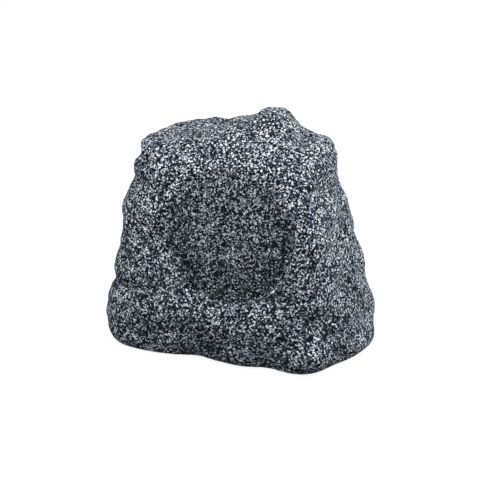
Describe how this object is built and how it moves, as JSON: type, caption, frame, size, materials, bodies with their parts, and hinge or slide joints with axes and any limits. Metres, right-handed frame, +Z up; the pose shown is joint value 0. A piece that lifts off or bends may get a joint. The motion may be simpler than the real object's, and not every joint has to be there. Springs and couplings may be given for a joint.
{
  "type": "rock shaped garden loudspeaker",
  "caption": "Outdoor loudspeaker in a moulded granite boulder: round painted grille in a front recess, coaxial driver behind it, cable gland low on the back, flat bottom on rubber feet.",
  "frame": {"origin": "on the ground under the middle of the stone, at the bottom of the rubber feet", "axes": "+Z up, the grille faces -Y, +X to the right of someone who looks at the grille"},
  "size_m": [0.369, 0.2982, 0.3185],
  "materials": {
    "granite_coat": "rough speckled granite coat on fibreglass",
    "granite_grille": "steel painted over with the granite coat",
    "black_moulding": "matt black",
    "black_foam": "closed cell foam",
    "black_rubber": "matt",
    "black_cloth": "open weave",
    "zinc_screws": "zinc plated",
    "plated_steel": "zinc plated",
    "ferrite": "sintered ferrite",
    "gland_plastic": "moulded nylon",
    "coil_foil": "thin foil",
    "copper_wire": "lacquered copper",
    "moulded_cone": "moulded polypropylene",
    "spider_cloth": "resin treated cotton",
    "board_laminate": "phenolic laminate",
    "brass_tabs": "tinned brass",
    "dome_film": "thin film",
    "white_moulding": "moulded nylon",
    "capacitor_film": "yellow film wrap",
    "cement": "cement filled ceramic",
    "block_plastic": "moulded nylon",
    "lead_sheath": "soft sheath"
  },
  "bodies": {
    "root": {"rock_shell": "granite_coat", "base_plate": "black_moulding", "base_seal": "black_foam", "base_screws": "zinc_screws", "rubber_feet": "black_rubber", "foot_screws": "zinc_screws", "gland_body": "gland_plastic", "gland_washer": "black_rubber", "gland_locknut": "gland_plastic", "gland_seal": "black_rubber", "gland_cap_nut": "gland_plastic", "grille": "granite_grille", "grille_scrim": "black_cloth", "grille_seal": "black_foam", "driver_gasket": "black_foam", "driver_screws": "zinc_screws", "basket": "black_moulding", "front_plate": "plated_steel", "magnet": "ferrite", "yoke": "plated_steel", "surround": "black_rubber", "spider": "spider_cloth", "terminal_strip": "board_laminate", "terminal_tabs": "brass_tabs", "tweeter_post": "plated_steel", "tweeter_housing": "black_moulding", "tweeter_magnet": "plated_steel", "tweeter_plate": "plated_steel", "tweeter_dome": "dome_film", "tweeter_ring": "black_moulding", "crossover_board": "board_laminate", "board_screws": "zinc_screws", "inductor_bobbin": "white_moulding", "inductor_winding": "copper_wire", "capacitors": "capacitor_film", "resistor": "cement", "terminal_block": "block_plastic", "terminal_screws": "zinc_screws", "woofer_lead": "lead_sheath", "tweeter_lead": "lead_sheath"},
    "cone_assembly": {"cone": "moulded_cone", "coil_former": "coil_foil", "coil_winding": "copper_wire"}
  },
  "joints": [
    {"name": "cone_travel", "type": "slide", "parent": "root", "child": "cone_assembly", "axis": [0, -0.9816, 0.1908], "range_m": [-0.004, 0.004], "stiffness_N_per_m": 1100, "deforming": ["surround", "spider"]}
  ]
}
